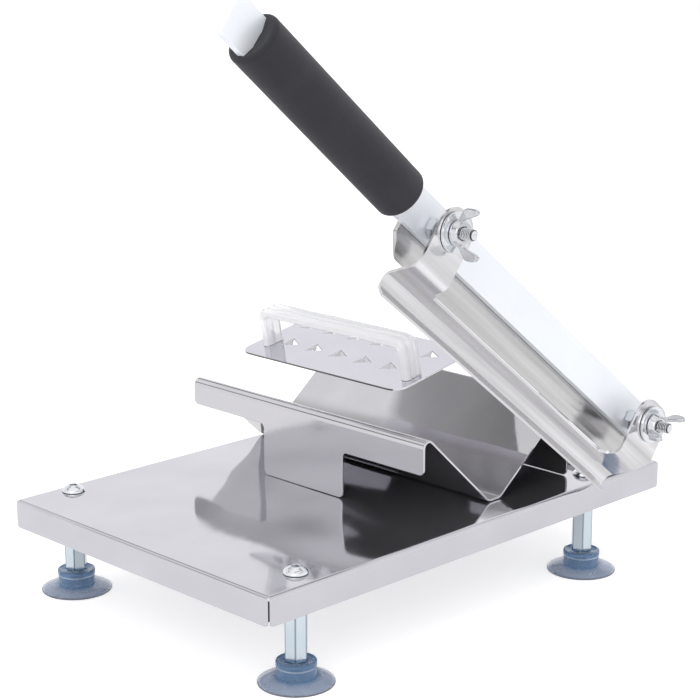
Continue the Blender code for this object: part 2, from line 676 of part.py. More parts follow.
def make_blade(holes):
    """The blade behind the bar: a ground edge on its front, and a chamfered upper corner."""
    low = -BLADE_EDGE
    tip = BLADE_TIP_LENGTH
    corners = [(-BLADE_HEEL, low), (BLADE_REACH - tip, low), (BLADE_REACH, low + BLADE_TIP_HEIGHT)]
    corners += [(BLADE_REACH, BLADE_TOP), (-BLADE_HEEL, BLADE_TOP)]
    outline = rounded(corners, [BLADE_CORNER / 2, BLADE_CORNER, BLADE_CORNER / 2, BLADE_CORNER, BLADE_CORNER])
    front = BLADE_BACK + BLADE_THICKNESS
    blade = new_piece("blade", slab([outline] + holes, BLADE_BACK, front, "XZ"), ARM, "brushed_steel")
    edge = BLADE_BACK + BLADE_EDGE_THICKNESS
    steep = (front - edge) / BLADE_GRIND
    top = low + BLADE_GRIND + 1
    bevel = [(front + steep, top), (edge - steep, low - 1), (front + PAST, low - 1), (front + PAST, top)]
    cut(blade, slab([bevel], -BLADE_HEEL - PAST, BLADE_REACH + PAST, "YZ"), "blade_grind")


def make_bolt(name, x, seat):
    """A hexagon bolt whose head lies behind and whose tip points to the front."""
    shank = [(0, BOLT_TIP), (BOLT_RADIUS - BOLT_CHAMFER, BOLT_TIP), (BOLT_RADIUS, BOLT_TIP - BOLT_CHAMFER)]
    shank += [(BOLT_RADIUS, seat - BOLT_HEAD_HEIGHT / 2), (0, seat - BOLT_HEAD_HEIGHT / 2)]
    bolt = turned(name, shank, ARM, "zinc", (x, 0, 0), (-90, 0, 0))
    fuse(bolt, slab([hexagon(NUT_FLATS)], seat - BOLT_HEAD_HEIGHT, seat, "XZ"), name + "_head", (x, 0, 0))


def make_thickness_plate():
    """The bent plate in front of the blade: two ears on the bolts, and a rail whose face sets the slice."""
    corners = [(EAR_BACK, EAR_TOP + 1), (EAR_BACK, EAR_FOLD_Z), (RAIL_BACK, RAIL_FOLD_Z)]
    corners += [(RAIL_BACK, RAIL_LIP_Z), (LIP_FRONT, LIP_Z)]
    path = rounded(corners, [0, EAR_BEND, RAIL_BEND, LIP_BEND, 0], closed=False)
    ear_start = -EAR_HALF_WIDTH
    ear_front = EAR_BACK + PLATE_SHEET
    through = (EAR_BACK - PLATE_SHEET, ear_front + PAST)
    surface = bent_surface(path, ear_start, PLATE_END, "YZ")
    plate = new_piece("thickness_plate", surface, PLATE, "brushed_steel")
    thicken(plate, PLATE_SHEET, 1)
    window = box_outline(WINDOW_START, WINDOW_END, WINDOW_BACK, ear_front + PAST)
    window = rounded(window, [WINDOW_CORNER, WINDOW_CORNER, 0, 0])
    cut(plate, slab([window], RAIL_LIP_Z, EAR_TOP + PAST), "plate_window")
    start = EAR_ROUND_START
    for name, low, high in (("lower", ear_start, WINDOW_START), ("upper", WINDOW_END, PLATE_END)):
        crown = [(low - PAST, start), (low, start), (low, EAR_TOP), (high, EAR_TOP), (high, start)]
        crown += [(high + PAST, start), (high + PAST, EAR_TOP + PAST), (low - PAST, EAR_TOP + PAST)]
        outline = rounded(crown, [0, 0, EAR_ROUND, EAR_ROUND, 0, 0, 0, 0])
        cut(plate, slab([outline], *through, "XZ"), "crown_" + name)
    step = EAR_FOLD_Z + HEEL_HEIGHT
    heel = [(ear_start - PAST, LIP_Z - PAST), (LIP_START, LIP_Z - PAST), (LIP_START, LIP_Z)]
    heel += [(PLATE_START, RAIL_FOLD_Z), (PLATE_START, EAR_FOLD_Z), (ear_start, step)]
    heel = rounded(heel + [(ear_start - PAST, step)], [0, 0, 0, HEEL_CORNER, HEEL_CORNER, 2, 0])
    cut(plate, slab([heel], 0, through[1], "XZ"), "plate_heel")
    bore = BOLT_RADIUS + BORE_GAP
    cut(plate, slab([circle(bore), circle(bore, UPPER_BOLT_X)], *through, "XZ"), "plate_bores")
    nut_front = EAR_BACK - SEAT_GAP
    washer_back = ear_front + SEAT_GAP
    for name, x, turn in (("upper", UPPER_BOLT_X, UPPER_WING_TURN), ("lower", 0, LOWER_WING_TURN)):
        nut = slab([hexagon(NUT_FLATS), circle(bore)], nut_front - ADJUSTING_NUT_HEIGHT, nut_front, "XZ")
        new_piece("adjusting_nut_" + name, nut, PLATE, "zinc", (x, 0, 0))
        outlines = [circle(WASHER_RADIUS, steps=28), circle(bore)]
        washer = slab(outlines, washer_back, washer_back + WASHER_THICKNESS, "XZ")
        new_piece("washer_" + name, washer, PLATE, "zinc", (x, 0, 0))
        make_wing_nut(name, (x, washer_back + WASHER_THICKNESS + SEAT_GAP, 0), turn)


def make_wing_nut(name, place, turn):
    """A wing nut: a tapered barrel with two rounded wings that lean forward."""
    bore = BOLT_RADIUS + BORE_GAP
    foot = WING_BARREL_RADIUS
    top = WING_BARREL_HEIGHT
    barrel = [(foot - WING_BARREL_TAPER, top), (foot, 1), (foot, 0), (bore, 0), (bore, top)]
    spin = (-90, turn, 0)
    nut = turned("wing_nut_" + name, barrel, PLATE, "zinc", place, spin, steps=24, ring=True)
    root = (bore + foot) / 2
    wing = [(root, 1), (foot, 1), (WING_SPAN, WING_LOW), (WING_SPAN, WING_HEIGHT)]
    wing += [(foot + WING_ROUND, WING_HEIGHT), (foot, top), (root, top - 1)]
    radii = [0, WING_ROUND, WING_ROUND, WING_ROUND, WING_ROUND, 2, 0]
    half = WING_THICKNESS / 2
    for side in (1, -1):
        outline = [(point.x * side, point.y) for point in rounded(wing, radii)]
        fuse(nut, slab([outline], -half, half, "XZ"), f"wing_{name}_{side}", place, spin)


def teeth():
    """The u and v of each tooth's middle, row by row."""
    left = [(TOOTH_LEFT_U, TOOTH_LEFT_V + TOOTH_PITCH * index) for index in range(TOOTH_LEFT_COUNT)]
    right = [(TOOTH_RIGHT_U, TOOTH_RIGHT_V + TOOTH_PITCH * index) for index in range(TOOTH_RIGHT_COUNT)]
    return left + right


def make_press():
    """The press: a thin plate with two rows of teeth bent down out of it, under a clear handle."""
    half = TOOTH_BASE / 2
    reach = TOOTH_HEIGHT / 2
    edge = rounded(box_outline(0, PRESS_WIDTH, 0, PRESS_LENGTH), PRESS_CORNER)
    leg_u = HANDLE_U + HANDLE_WIDTH / 2
    far = HANDLE_V + HANDLE_LENGTH
    legs = [("near", HANDLE_V + HANDLE_THICKNESS / 2), ("far", far - HANDLE_THICKNESS / 2)]
    holes = [circle(PRESS_SCREW_RADIUS + BORE_GAP, leg_u, v, steps=12) for _, v in legs]
    outlines = [edge] + holes
    outlines += [[(u - half, v + reach), (u, v - reach), (u + half, v + reach)] for u, v in teeth()]
    plate = new_piece("press_plate", slab(outlines, -PRESS_SHEET, 0), PRESS, "brushed_steel")
    root = -PRESS_SHEET / 2
    for index, (u, v) in enumerate(teeth()):
        points = [(u - half, root), (u, root - TOOTH_HEIGHT), (u + half, root)]
        near = v + reach + TOOTH_SET_BACK
        fuse(plate, slab([points], near, near + PRESS_SHEET, "XZ"), f"tooth_{index}")
    path = [(HANDLE_V, SEAT_GAP), (HANDLE_V, HANDLE_HEIGHT), (far, HANDLE_HEIGHT), (far, SEAT_GAP)]
    path = rounded(path, HANDLE_BEND, closed=False)
    surface = bent_surface(path, HANDLE_U, HANDLE_U + HANDLE_WIDTH, "YZ")
    handle = new_piece("press_handle", surface, PRESS, "clear_plastic")
    thicken(handle, HANDLE_THICKNESS, -1)
    cut(handle, slab(holes, -PAST, PRESS_SCREW_REACH + SEAT_GAP), "handle_screw_holes")
    for name, v in legs:
        seat = -PRESS_SHEET - SEAT_GAP
        head = seat - PRESS_SCREW_HEAD_HEIGHT
        profile = [(0, PRESS_SCREW_REACH), (PRESS_SCREW_RADIUS, PRESS_SCREW_REACH)]
        profile += [(PRESS_SCREW_RADIUS, seat), (PRESS_SCREW_HEAD_RADIUS, seat)]
        profile += [(PRESS_SCREW_HEAD_RADIUS, head), (0, head)]
        turned("press_screw_" + name, profile, PRESS, "zinc", (leg_u, v, 0), steps=12)


clear_scene()
PARTS = new_collection("frozen_meat_slicer")
CUTTERS = new_collection("cutters")
CUTTERS.hide_render = True
BASE = new_frame("base_frame", (-ORIGIN_X, -ORIGIN_Y, FOOT_HEIGHT))
ARM = new_frame("arm_pivot", (PIVOT_X, 0, PIVOT_Z), (0, -ARM_ANGLE, 180), BASE)
PLATE = new_frame("thickness_slide", (0, 0, 0), (0, 0, 0), ARM)
PRESS = new_frame("press_frame", (PRESS_X, PRESS_Y, PRESS_Z), (0, -PRESS_TILT, 0), BASE)
make_base()
for foot_name, foot_x, foot_y in feet():
    make_foot(foot_name, foot_x, foot_y)
make_tray()
make_bracket()
make_arm()
make_thickness_plate()
make_press()
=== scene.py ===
"""Looks of the frozen meat slicer: finer pieces, materials, floor, lights and camera.

The part's sizes are in millimetres until they reach Blender. Camera, lamps and floor are in metres.
"""
import math

import bmesh
import bpy
from mathutils import Euler, Matrix, Vector


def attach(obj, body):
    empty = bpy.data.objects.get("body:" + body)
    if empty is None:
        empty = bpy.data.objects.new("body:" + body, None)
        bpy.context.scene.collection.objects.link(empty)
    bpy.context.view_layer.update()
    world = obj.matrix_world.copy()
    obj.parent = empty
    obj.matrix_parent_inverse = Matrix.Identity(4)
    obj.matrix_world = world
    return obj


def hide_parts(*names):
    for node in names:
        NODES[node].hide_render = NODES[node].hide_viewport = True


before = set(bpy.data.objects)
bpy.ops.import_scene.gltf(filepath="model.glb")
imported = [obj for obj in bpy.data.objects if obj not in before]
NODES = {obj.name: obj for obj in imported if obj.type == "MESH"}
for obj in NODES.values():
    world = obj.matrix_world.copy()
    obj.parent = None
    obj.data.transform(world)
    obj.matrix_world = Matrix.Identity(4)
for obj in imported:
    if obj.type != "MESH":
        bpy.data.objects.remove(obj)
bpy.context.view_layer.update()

MM = 0.001

# Places and sizes of the part, as its source has them. Heights count from the top of the base plate,
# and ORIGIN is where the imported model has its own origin
ORIGIN = (135.6, 86.25, -55.5)
PIVOT_X = 260.5
PIVOT_Z = 34
ARM_ANGLE = 38.1
UPPER_BOLT_X = 204
SEAT_GAP = 0.3
BORE = 3.3
BASE_LENGTH = 300
BASE_WIDTH = 200
BOLT_RADIUS = 3
BOLT_TIP = 34
BOLT_HEAD_HEIGHT = 4
BOLT_CHAMFER = 0.6
UPPER_BOLT_SEAT = 0.2
PIVOT_BOLT_SEAT = -4.1
NUT_FLATS = 10
LOCK_NUT_BACK = 7.6
LOCK_NUT_HEIGHT = 4.8
ADJUSTING_NUT_BACK = 15
ADJUSTING_NUT_HEIGHT = 4.7
THREAD_PITCH = 1
FOOT_X = {"left": 31, "right": 250}
FOOT_Y = {"near": 15, "far": 190}
FOOT_HEAD_RADIUS = 6.2
FOOT_HEAD_HEIGHT = 3.3
FOOT_SCREW_LENGTH = 14
SOCKET_FLATS = 4
SOCKET_DEPTH = 2
CUP_TOP = -44
CUP_FLOOR = -55.5
CUP_RADIUS = 19
COLLAR_RADIUS = 10.1
COLLAR_HEIGHT = 3
NECK_RADIUS = 9.8
NECK_HEIGHT = 5
CUP_RIM = 0.6
CUP_RIM_WIDTH = 1.6
CUP_HOLLOW = 1.6
STUD_POCKET = 5.9
POCKET_LOW = -51.8
POCKET_HIGH = -49.2
GRIP_START = 230.5
GRIP_LENGTH = 119.5
GRIP_RADIUS = 13
BAR_MIDDLE = 5.3
BAR_CENTRE = 2.3
BAR_BEND_X = 226
BAR_RISE = 2.04
PRESS_PLACE = (137.3, 50, 62.3)
PRESS_TILT = 10.8
HANDLE_U = 11.2
HANDLE_WIDTH = 12.4
HANDLE_V = 4
HANDLE_LENGTH = 113
HANDLE_THICKNESS = 5
HANDLE_BEND = 7

# Finer sizes that only this script has. The handle's height is the photograph's, 4 mm over the solid's
HANDLE_HEIGHT = 23
HANDLE_EDGE = 0.8
FLUTES = 3
FLUTE_DEPTH = 0.7
THREAD_DEPTH = 0.6
THREAD_SLOPE = 1.35
THREAD_STEPS = 8
SHANK_OVERLAP = 1
NUT_CHAMFER_ANGLE = 28
NUT_FACE_SHARE = 0.94
BORE_CHAMFER = 0.35
WING_NUT_VOXEL = 0.32
SOCKET_CONE = (1.2, 0.4)
SOCKET_LIP = 0.25
SOCKET_MOUTH = 2.8
GRIP_ROUND = 2.6
GRIP_FLATTER = 0.8
GRIP_DISH = 1.8
GRIP_DISH_SHARE = 0.35
GRIP_DISH_CENTRE = 1.6
WELD_RADIUS = 1.3
WELD_TIP_RADIUS = 0.9
WELD_INSET = 2.45
WELD_HIGH = -2.4
WELD_LOW = -13
WELD_TIP_HEIGHT = 0.2
WELD_STEP = 0.8
WELD_RIPPLES = 12
WELD_RIPPLE = 0.06

# Rounded corners of the cup's section, as steps out and up from the corner
LIP_CORNER = ((-0.4, -0.5), (0, -0.1), (0.4, 0))
COLLAR_TOP_CORNER = ((-0.5, 0), (-0.15, -0.15), (0, -0.5))
COLLAR_FOOT_CORNER = ((0, 0.45), (-0.15, 0.12))
NECK_TOP_CORNER = ((-0.25, -0.1), (0, -0.5))
RIM_TOP_CORNER = ((-0.1, 0.05), (0, -0.15))
RIM_FOOT_CORNER = ((0, 0.1), (-0.1, 0))
LIP_INSET = 1.6
NECK_FOOT = 0.6
SKIRT_SHARES = (0.02, 0.06, 0.15, 0.3, 0.45, 0.6, 0.75, 0.88, 0.96)
SKIRT_CURVE = 1.8
HOLLOW_SHARES = (0.8, 0.65, 0.5, 0.35, 0.2, 0)

# Steps round the axis of the turned pieces, and the angle in degrees above which an edge stays sharp
BOLT_SIDES = 40
NUT_SIDES = 60
FOOT_SIDES = 72
GRIP_SIDES = 96
WELD_SIDES = 20
DOME_STEPS = 14
SHARP_ANGLE = 35

# Camera of the photograph
CAMERA_PLACE = (-0.6751, -0.68325, 0.3716)
CAMERA_TURN = (76.09, 0, -44.76)
CAMERA_LENS = 96.17

# Surroundings: how much the floor glows to rays that see it directly and in mirrors, and the world's
# grey by the sine of the elevation, with a sharp edge between wall and ceiling. The camera sees the
# backdrop instead, which is white at the world's strength
FLOOR_GLOW = 0.5
MIRRORED_GLOW = 0.22
WORLD_STRENGTH = 1.15
HORIZON = (0.98, 0.98, 1.0)
WALL = ((0.35, 0.95), (0.5, 0.87), (0.7362, 0.87))
CEILING = ((0.7376, 0.42), (0.745, 0.34), (0.78, 0.2), (0.84, 0.24), (0.93, 0.45))
ZENITH = (0.4, 0.4, 0.41)
SKY_BLUE = 1.02
BACKDROP = (0.87, 0.87, 0.87)

# Dark flags of the studio: where each stands, and the cosines where it is full and where it ends
DARK_FLAGS = (((-0.577, 0.689, 0.439), 0.997, 0.991), ((0.331, 0.69, 0.643), 0.992, 0.98))
FLAG_LEVEL = 0.3

# Lamps: name, place, size and watts, all aimed at one point
LAMPS = (("top_softbox", (-0.2, -0.1, 1.5), (2.2, 2.2), 9.5),
         ("left_softbox", (-1.3, -0.7, 0.9), (1.0, 1.2), 3.5))
LAMP_AIM = (0, 0, 0.12)
FLOOR_SIZE = 8

# Materials: the grain's stretch, and noise scales, which count per metre. Noise lies mostly inside its
# range, and is spread from there
ANY_WAY = (1, 1, 1)
ALONG_X = (0.03, 1, 1)
ALONG_Y = (1, 0.03, 1)
ALONG_Z = (1, 1, 0.05)
BRUSH_SCALE = 900
WAVE_SCALE = 9
SMUDGE_SCALE = 28
STREAK_SCALE = 220
NOISE_RANGE = (0.3, 0.7)

# Where materials change, and where shade is painted. The painted shade lines at the hexagon corners and in
# the thread valleys lie at distances from the axis of a bar or bolt, the trough's rougher floor with painted
# shade at heights from the top of the base plate, and the cup's zones are shares of its radius
LEFT_FACES = ("X", -1.1, -0.9)
NEAR_FACES = ("Y", -1.1, -0.9)
CORNER_SHADE_LINE = (5.75, 5.95)
VALLEY_MARGIN = 0.1
TIP_MARGIN = 0.2
TROUGH_SHADE_HEIGHTS = (12, 21)
UPWARD = 0.5
COLLAR_ZONE = 0.53
SKIRT_ZONE = (0.66, 0.965)
GROOVE_HEIGHT = 0.1
GROOVE_HALF = 0.45


def translation(x, y, z):
    """A move in millimetres."""
    return Matrix.Translation(Vector((x, y, z)) * MM)


def turn(x, y, z):
    """A turn in degrees."""
    return Euler([math.radians(angle) for angle in (x, y, z)]).to_matrix().to_4x4()


BASE = translation(*[-value for value in ORIGIN])
ARM = BASE @ translation(PIVOT_X, 0, PIVOT_Z) @ turn(0, -ARM_ANGLE, 180)
PRESS = BASE @ translation(*PRESS_PLACE) @ turn(0, -PRESS_TILT, 0)
TO_FRONT = turn(-90, 0, 0)


def add_piece(name, mesh, matrix, body, nodes, material):
    """A finer piece that rides on a body and stands for CAD nodes, if it names any."""
    piece = bpy.data.objects.new(name, mesh)
    bpy.context.scene.collection.objects.link(piece)
    piece.matrix_world = matrix
    mesh.materials.append(material)
    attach(piece, body)
    if nodes:
        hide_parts(*nodes)
    return piece


def value_at(value, angle):
    """A ring's radius or height, which may change with the angle round the axis."""
    return value(angle) if callable(value) else value


def skin(shape, rows):
    """Faces between neighbouring rows of points, each row closed in a ring."""
    for low, high in zip(rows, rows[1:]):
        for index in range(len(low)):
            after = (index + 1) % len(low)
            shape.faces.new((low[index], low[after], high[after], high[index]))


def shaded_mesh(name, shape, smooth):
    """The shape as a mesh, smooth but for edges sharper than an angle."""
    mesh = bpy.data.meshes.new(name)
    shape.to_mesh(mesh)
    shape.free()
    mesh.shade_smooth()
    mesh.set_sharp_from_angle(angle=math.radians(smooth))
    return mesh


def finish_mesh(name, shape, smooth):
    """The shape as a mesh, with what meets joined and its faces pointing out."""
    bmesh.ops.remove_doubles(shape, verts=shape.verts, dist=1e-6)
    bmesh.ops.dissolve_degenerate(shape, edges=shape.edges, dist=1e-7)
    bmesh.ops.recalc_face_normals(shape, faces=shape.faces)
    return shaded_mesh(name, shape, smooth)


def polar_mesh(name, rings, steps, closed=False, smooth=SHARP_ANGLE):
    """A mesh round the z axis: each ring is a radius and a height."""
    shape = bmesh.new()
    angles = [2 * math.pi * step / steps for step in range(steps)]
    rows = []
    for radius, height in rings:
        row = []
        for angle in angles:
            reach = value_at(radius, angle)
            place = (reach * math.cos(angle), reach * math.sin(angle), value_at(height, angle))
            row.append(shape.verts.new(Vector(place) * MM))
        rows.append(row)
    if closed:
        rows.append(rows[0])
    skin(shape, rows)
    return finish_mesh(name, shape, smooth)


def hexagon_radius(flats):
    """The outline's radius with its flats square to the x axis."""
    sixth = math.pi / 3

    def radius(angle):
        return flats / 2 / math.cos((angle + sixth / 2) % sixth - sixth / 2)
    return radius


def nut_rings(flats, low, high, bore=0):
    """A hexagon nut with its chamfered corners, or a bolt head where there is no bore."""
    outline = hexagon_radius(flats)
    slope = math.tan(math.radians(NUT_CHAMFER_ANGLE))
    face = flats / 2 * NUT_FACE_SHARE

    def top(angle):
        return high - (outline(angle) - face) * slope

    def bottom(angle):
        return low + (outline(angle) - face) * slope
    outside = [(face, high), (outline, top), (outline, bottom), (face, low)]
    if not bore:
        return [(0, high)] + outside + [(0, low)]
    lip = bore + BORE_CHAMFER
    inside = [(lip, low), (bore, low + BORE_CHAMFER), (bore, high - BORE_CHAMFER)]
    return [(lip, high)] + outside + inside


def thread_radius(height):
    """The radius of a bolt's thread at a height, as a function of the angle."""
    def radius(angle):
        phase = (height / THREAD_PITCH - angle / (2 * math.pi)) % 1
        from_crest = abs(2 * phase - 1)
        return BOLT_RADIUS - THREAD_DEPTH * min(1, THREAD_SLOPE * from_crest)
    return radius


def bolt_rings(seat):
    """A threaded shank from inside the head to its chamfered tip."""
    rings = [(0, seat - SHANK_OVERLAP), (BOLT_RADIUS, seat - SHANK_OVERLAP)]
    count = int((BOLT_TIP - BOLT_CHAMFER - seat) / THREAD_PITCH * THREAD_STEPS)
    for step in range(count):
        height = seat + step * THREAD_PITCH / THREAD_STEPS
        rings.append((thread_radius(height), height))
    core = BOLT_RADIUS - THREAD_DEPTH
    rings += [(core, BOLT_TIP - BOLT_CHAMFER / 2), (core - BOLT_CHAMFER, BOLT_TIP), (0, BOLT_TIP)]
    return rings


def join_meshes(name, meshes):
    """Several meshes as one."""
    shape = bmesh.new()
    for mesh in meshes:
        shape.from_mesh(mesh)
    return shaded_mesh(name, shape, SHARP_ANGLE)


def make_bolts():
    """The two bolts with cut threads and chamfered heads."""
    places = {"upper_bolt": (UPPER_BOLT_X, UPPER_BOLT_SEAT), "pivot_bolt": (0, PIVOT_BOLT_SEAT)}
    for name, (x, seat) in places.items():
        shank = polar_mesh(name, bolt_rings(seat), BOLT_SIDES, smooth=50)
        head = polar_mesh(name, nut_rings(NUT_FLATS, seat - BOLT_HEAD_HEIGHT, seat), NUT_SIDES)
        mesh = join_meshes(name + "_cut", [shank, head])
        matrix = ARM @ translation(x, 0, 0) @ TO_FRONT
        add_piece(name + "_cut", mesh, matrix, "arm", [name], THREAD_ZINC)


def make_nuts():
    """Lock nuts on the arm and adjusting nuts that ride on their own bodies."""
    for place, x in (("upper", UPPER_BOLT_X), ("lower", 0)):
        matrix = ARM @ translation(x, 0, 0) @ TO_FRONT
        name = "lock_nut_" + place
        rings = nut_rings(NUT_FLATS, LOCK_NUT_BACK, LOCK_NUT_BACK + LOCK_NUT_HEIGHT, BORE)
        mesh = polar_mesh(name + "_cut", rings, NUT_SIDES, closed=True)
        add_piece(name + "_cut", mesh, matrix, "arm", [name], BRIGHT_ZINC)
        name = "adjusting_nut_" + place
        high = ADJUSTING_NUT_BACK + ADJUSTING_NUT_HEIGHT
        rings = nut_rings(NUT_FLATS, ADJUSTING_NUT_BACK, high, BORE)
        mesh = polar_mesh(name + "_cut", rings, NUT_SIDES, closed=True)
        add_piece(name + "_cut", mesh, matrix, name, [name], BRIGHT_ZINC)


def make_wing_nuts():
    """Cast wing nuts: the CAD solid with its joints filled and its edges softened."""
    for place in ("upper", "lower"):
        name = "wing_nut_" + place
        mesh = NODES[name].data.copy()
        mesh.name = name + "_cast"
        mesh.materials.clear()
        piece = add_piece(name + "_cast", mesh, Matrix(), name, [name], CAST_ZINC)
        remesh = piece.modifiers.new("cast", "REMESH")
        remesh.mode = "VOXEL"
        remesh.voxel_size = WING_NUT_VOXEL * MM
        remesh.use_smooth_shade = True
        smooth = piece.modifiers.new("soft", "SMOOTH")
        smooth.factor = 0.5
        smooth.iterations = 5


def dome(radius, height, count):
    """Rings of a low dome from near its top to its foot."""
    rings = []
    for step in range(1, count + 1):
        angle = math.pi / 2 * (1 - step / count)
        rings.append((radius * math.cos(angle), height * math.sin(angle)))
    return rings


def foot_screw_rings():
    """A domed head with a hexagon socket over a plain shank."""
    socket = hexagon_radius(SOCKET_FLATS)
    floor = FOOT_HEAD_HEIGHT - SOCKET_DEPTH
    cone_radius, cone_depth = SOCKET_CONE

    def mouth(angle):
        return socket(angle) + SOCKET_LIP
    rings = [(0, floor - cone_depth), (cone_radius, floor), (socket, floor)]
    rings += [(socket, FOOT_HEAD_HEIGHT - SOCKET_LIP), (mouth, FOOT_HEAD_HEIGHT)]
    head = dome(FOOT_HEAD_RADIUS, FOOT_HEAD_HEIGHT, DOME_STEPS)
    rings += [ring for ring in head if ring[0] > SOCKET_MOUTH]
    rings += [(BOLT_RADIUS, 0), (BOLT_RADIUS, -FOOT_SCREW_LENGTH), (0, -FOOT_SCREW_LENGTH)]
    return rings


def make_feet():
    """Button head screws with hexagon sockets, and the clear suction cups."""
    for near, y in FOOT_Y.items():
        for side, x in FOOT_X.items():
            name = f"foot_screw_{near}_{side}"
            mesh = polar_mesh(name + "_cut", foot_screw_rings(), FOOT_SIDES)
            matrix = BASE @ translation(x, y, SEAT_GAP)
            add_piece(name + "_cut", mesh, matrix, "base", [name], BRIGHT_ZINC)
            name = f"suction_cup_{near}_{side}"
            mesh = polar_mesh(name + "_soft", cup_rings(), FOOT_SIDES, closed=True, smooth=50)
            matrix = BASE @ translation(x, y, 0)
            add_piece(name + "_soft", mesh, matrix, "base", [name], CLEAR_PVC)


def rounded(radius, height, steps):
    """Rings round a corner of a section."""
    return [(radius + out, height + up) for out, up in steps]


def cup_rings():
    """The cup's section: bore, lipped collar, groove, neck, skirt and hollow."""
    step = CUP_TOP - COLLAR_HEIGHT
    neck = step - NECK_HEIGHT
    rim = CUP_FLOOR + CUP_RIM
    rings = [(STUD_POCKET, POCKET_LOW), (STUD_POCKET, POCKET_HIGH), (BORE, POCKET_HIGH)]
    rings.append((BORE, CUP_TOP + LIP_CORNER[0][1]))
    rings += rounded(COLLAR_RADIUS - LIP_INSET, CUP_TOP, LIP_CORNER)
    rings += rounded(COLLAR_RADIUS, CUP_TOP, COLLAR_TOP_CORNER)
    rings += rounded(COLLAR_RADIUS, step, COLLAR_FOOT_CORNER)
    rings += rounded(NECK_RADIUS, step, NECK_TOP_CORNER)
    rings.append((NECK_RADIUS, neck + NECK_FOOT))
    for share in SKIRT_SHARES:
        radius = NECK_RADIUS + (CUP_RADIUS - NECK_RADIUS) * share
        rings.append((radius, neck + (rim - neck) * share**SKIRT_CURVE))
    rings += rounded(CUP_RADIUS, rim, RIM_TOP_CORNER)
    rings += rounded(CUP_RADIUS, CUP_FLOOR, RIM_FOOT_CORNER)
    rings.append((CUP_RADIUS - CUP_RIM_WIDTH, CUP_FLOOR))
    for share in HOLLOW_SHARES:
        rings.append((CUP_RADIUS * share, CUP_FLOOR + CUP_HOLLOW * (1 - share**2)))
    rings.append((0, POCKET_LOW))
    return rings


def make_grip():
    """The foam sleeve with soft lips that dip towards the bar."""
    rings = [(0, GRIP_DISH_CENTRE), (GRIP_RADIUS * GRIP_DISH_SHARE, GRIP_DISH)]
    count = 8
    for step in range(count + 1):
        angle = math.pi / 2 * step / count
        radius = GRIP_RADIUS - GRIP_ROUND * (1 - math.sin(angle))
        rings.append((radius, GRIP_ROUND * (1 - math.cos(angle)) * GRIP_FLATTER))
    far_end = [(radius, GRIP_LENGTH - height) for radius, height in reversed(rings)]
    segments = 24
    start = rings[-1][1]
    for step in range(1, segments):
        rings.append((GRIP_RADIUS, start + (GRIP_LENGTH - 2 * start) * step / segments))
    mesh = polar_mesh("foam_grip_soft", rings + far_end, GRIP_SIDES, smooth=60)
    climb = math.tan(math.radians(BAR_RISE)) * (GRIP_START - BAR_BEND_X)
    place = translation(GRIP_START, BAR_MIDDLE, BAR_CENTRE + climb)
    matrix = ARM @ place @ turn(0, 90 - BAR_RISE, 0)
    grip = add_piece("foam_grip_soft", mesh, matrix, "arm", ["foam_grip"], FOAM)


def handle_path():
    """Points of the handle's outer face, each with the angle of the way that faces outwards."""
    near = HANDLE_V
    far = HANDLE_V + HANDLE_LENGTH
    points = [(near, SEAT_GAP, 180), (near, HANDLE_HEIGHT / 3, 180)]
    steps = 10
    for centre, start in ((near + HANDLE_BEND, 180), (far - HANDLE_BEND, 90)):
        for step in range(steps + 1):
            angle = start - 90 * step / steps
            v = centre + HANDLE_BEND * math.cos(math.radians(angle))
            z = HANDLE_HEIGHT - HANDLE_BEND + HANDLE_BEND * math.sin(math.radians(angle))
            points.append((v, z, angle))
    points += [(far, HANDLE_HEIGHT / 3, 0), (far, SEAT_GAP, 0)]
    return points


def handle_section():
    """The handle's cross section: across its width, and inwards from its fluted outer face."""
    steps = 8 * FLUTES
    section = []
    for step in range(steps + 1):
        share = step / steps
        crown = abs(math.sin(math.pi * FLUTES * share))
        rim = HANDLE_EDGE * (abs(2 * share - 1) ** 8)
        section.append((HANDLE_WIDTH * share, FLUTE_DEPTH * (1 - crown) + rim))
    inside = HANDLE_THICKNESS - HANDLE_EDGE
    section += [(HANDLE_WIDTH, inside), (HANDLE_WIDTH - HANDLE_EDGE, HANDLE_THICKNESS)]
    section += [(HANDLE_EDGE, HANDLE_THICKNESS), (0, inside)]
    return section


def make_handle():
    """The clear handle of the press, a fluted bar bent into a bridge."""
    shape = bmesh.new()
    rows = []
    for v, z, angle in handle_path():
        out = Vector((math.cos(math.radians(angle)), math.sin(math.radians(angle))))
        row = []
        for across, depth in handle_section():
            spot = Vector((v, z)) - out * depth
            row.append(shape.verts.new(Vector((HANDLE_U + across, spot.x, spot.y)) * MM))
        rows.append(row)
    skin(shape, rows)
    shape.faces.new(rows[0])
    shape.faces.new(rows[-1])
    mesh = finish_mesh("press_handle_clear", shape, smooth=32)
    add_piece("press_handle_clear", mesh, PRESS, "press", ["press_handle"], ACRYLIC)


def make_seam_shade_welds():
    """A near-black weld bead behind each corner seam of the base, out of sight but for the seam, which it
    darkens as painted shade.
    """
    rings = [(0, WELD_HIGH), (WELD_TIP_RADIUS, WELD_HIGH - WELD_TIP_HEIGHT)]
    for step in range(WELD_RIPPLES):
        radius = WELD_RADIUS * (1 + WELD_RIPPLE * (step % 2))
        rings.append((radius, WELD_HIGH - WELD_STEP * (step + 1)))
    rings += [(WELD_TIP_RADIUS, WELD_LOW + WELD_TIP_HEIGHT), (0, WELD_LOW)]
    for side, x, x_way in (("left", 0, 1), ("right", BASE_LENGTH, -1)):
        for near, y, y_way in (("near", 0, 1), ("far", BASE_WIDTH, -1)):
            name = f"corner_weld_{side}_{near}"
            mesh = polar_mesh(name, rings, WELD_SIDES)
            matrix = BASE @ translation(x + x_way * WELD_INSET, y + y_way * WELD_INSET, 0)
            add_piece(name, mesh, matrix, "base", [], SEAM_SHADE_WELD)


